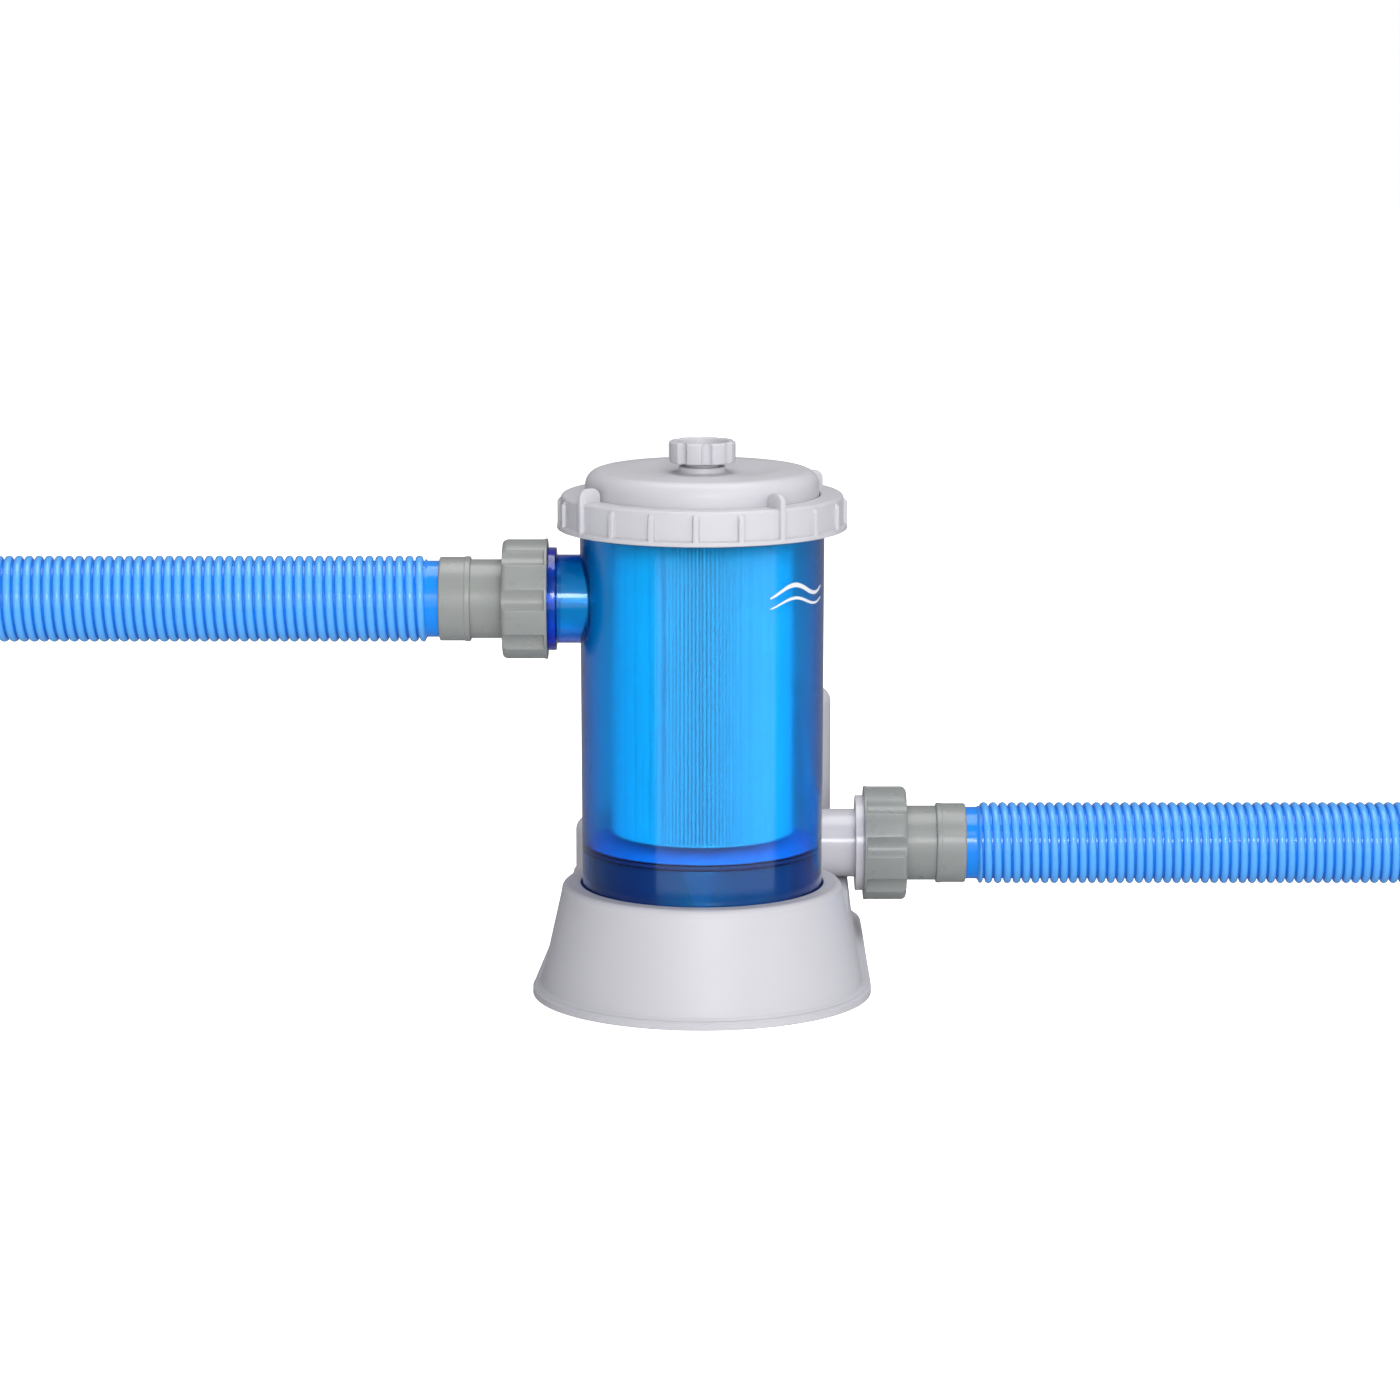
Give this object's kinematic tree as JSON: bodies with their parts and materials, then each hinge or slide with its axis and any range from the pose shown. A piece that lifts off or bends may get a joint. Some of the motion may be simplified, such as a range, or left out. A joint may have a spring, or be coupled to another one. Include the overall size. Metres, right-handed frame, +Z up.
{
  "type": "cartridge filter pump",
  "caption": "Pool filter pump: see-through blue canister with a pleated cartridge, screw-on lid with air valve, grey base with rear motor, and corrugated hoses with union nuts.",
  "frame": {"origin": "on the floor, on the canister's axis, in the face of the bottom plate", "axes": "+Z up along the canister, -Y the front, -X the side of the inlet port, +X the side of the outlet port"},
  "size_m": [1.0299, 0.3566, 0.318],
  "materials": {
    "shell_grey": "fine satin moulding",
    "plate_grey": "satin moulding",
    "canister_blue": "clear tinted, polished",
    "seal_rubber": "matt black",
    "media_white": "pleated spun polyester",
    "cap_white": "satin",
    "union_grey": "satin moulding",
    "hose_blue": "glossy blown polyethylene",
    "screw_steel": "stainless",
    "lamination_steel": "stacked laminations",
    "winding_copper": "enamelled copper wire",
    "magnet_ferrite": "moulded ferrite",
    "bearing_ceramic": "ground",
    "pump_plastic": "black glass-filled",
    "liner_navy": "dark satin moulding"
  },
  "bodies": {
    "pump_body": {"base_shell": "shell_grey", "motor_housing": "shell_grey", "pump_casing": "shell_grey", "bottom_plate": "plate_grey", "suction_duct": "plate_grey", "canister": "canister_blue", "canister_seal": "seal_rubber", "casing_seal": "seal_rubber", "duct_o_ring": "seal_rubber", "inlet_washer": "seal_rubber", "inlet_far_washer": "seal_rubber", "outlet_washer": "seal_rubber", "outlet_far_washer": "seal_rubber", "cable_gland": "seal_rubber", "inlet_tailpiece": "union_grey", "inlet_far_tailpiece": "union_grey", "outlet_tailpiece": "union_grey", "outlet_far_tailpiece": "union_grey", "inlet_hose_cuff": "union_grey", "inlet_far_hose_cuff": "union_grey", "outlet_hose_cuff": "union_grey", "outlet_far_hose_cuff": "union_grey", "inlet_hose": "hose_blue", "outlet_hose": "hose_blue", "base_screws": "screw_steel", "stator_core": "lamination_steel", "stator_coils": "winding_copper", "front_bush": "bearing_ceramic", "rear_bush": "bearing_ceramic", "rotor_can": "pump_plastic", "bearing_plate": "pump_plastic", "chamber_liner": "liner_navy"},
    "lid": {"lid_cover": "shell_grey"},
    "lock_ring": {"lock_ring": "shell_grey"},
    "valve_stem": {"valve_stem": "screw_steel", "valve_o_ring": "seal_rubber"},
    "valve_knob": {"valve_knob": "shell_grey"},
    "cartridge": {"cartridge_top_cap": "cap_white", "cartridge_bottom_cap": "cap_white", "cartridge_media": "media_white", "cartridge_core": "cap_white"},
    "rotor": {"impeller": "pump_plastic", "rotor_magnet": "magnet_ferrite", "rotor_shaft": "bearing_ceramic"},
    "inlet_nut": {"inlet_union_nut": "union_grey"},
    "inlet_far_nut": {"inlet_far_union_nut": "union_grey"},
    "outlet_nut": {"outlet_union_nut": "union_grey"},
    "outlet_far_nut": {"outlet_far_union_nut": "union_grey"}
  },
  "joints": [
    {"name": "lid_lift", "type": "slide", "parent": "pump_body", "child": "lid", "axis": [0, 0, 1], "range_m": [0, 0.27]},
    {"name": "lock_ring_turn", "type": "hinge", "parent": "lid", "child": "lock_ring", "pos_m": [0, 0, 0.278], "axis": [0, 0, 1], "range_deg": [0, 270]},
    {"name": "cartridge_lift", "type": "slide", "parent": "pump_body", "child": "cartridge", "axis": [0, 0, 1], "range_m": [0, 0.21]},
    {"name": "valve_stem_rise", "type": "slide", "parent": "lid", "child": "valve_stem", "axis": [0, 0, 1], "range_m": [0, 0.004]},
    {"name": "valve_knob_turn", "type": "hinge", "parent": "valve_stem", "child": "valve_knob", "pos_m": [0, 0, 0.312], "axis": [0, 0, 1], "range_deg": [0, 540]},
    {"name": "rotor_spin", "type": "hinge", "parent": "pump_body", "child": "rotor", "pos_m": [0.028, 0.17, 0.1], "axis": [0, 0, 1], "continuous": true},
    {"name": "inlet_nut_turn", "type": "hinge", "parent": "pump_body", "child": "inlet_nut", "pos_m": [-0.1, 0, 0.2277], "axis": [-1, 0, 0], "continuous": true},
    {"name": "inlet_far_nut_turn", "type": "hinge", "parent": "pump_body", "child": "inlet_far_nut", "pos_m": [-0.5, 0, 0.2277], "axis": [1, 0, 0], "continuous": true},
    {"name": "outlet_nut_turn", "type": "hinge", "parent": "pump_body", "child": "outlet_nut", "pos_m": [0.11, 0.143, 0.0569], "axis": [1, 0, 0], "continuous": true},
    {"name": "outlet_far_nut_turn", "type": "hinge", "parent": "pump_body", "child": "outlet_far_nut", "pos_m": [0.51, 0.143, 0.0569], "axis": [-1, 0, 0], "continuous": true}
  ],
  "couplings": [
    {"joint": "cartridge_lift", "follows": "lid_lift", "ratio": 0.76},
    {"joint": "valve_stem_rise", "follows": "valve_knob_turn", "m_per_rad": 0.00039789}
  ]
}
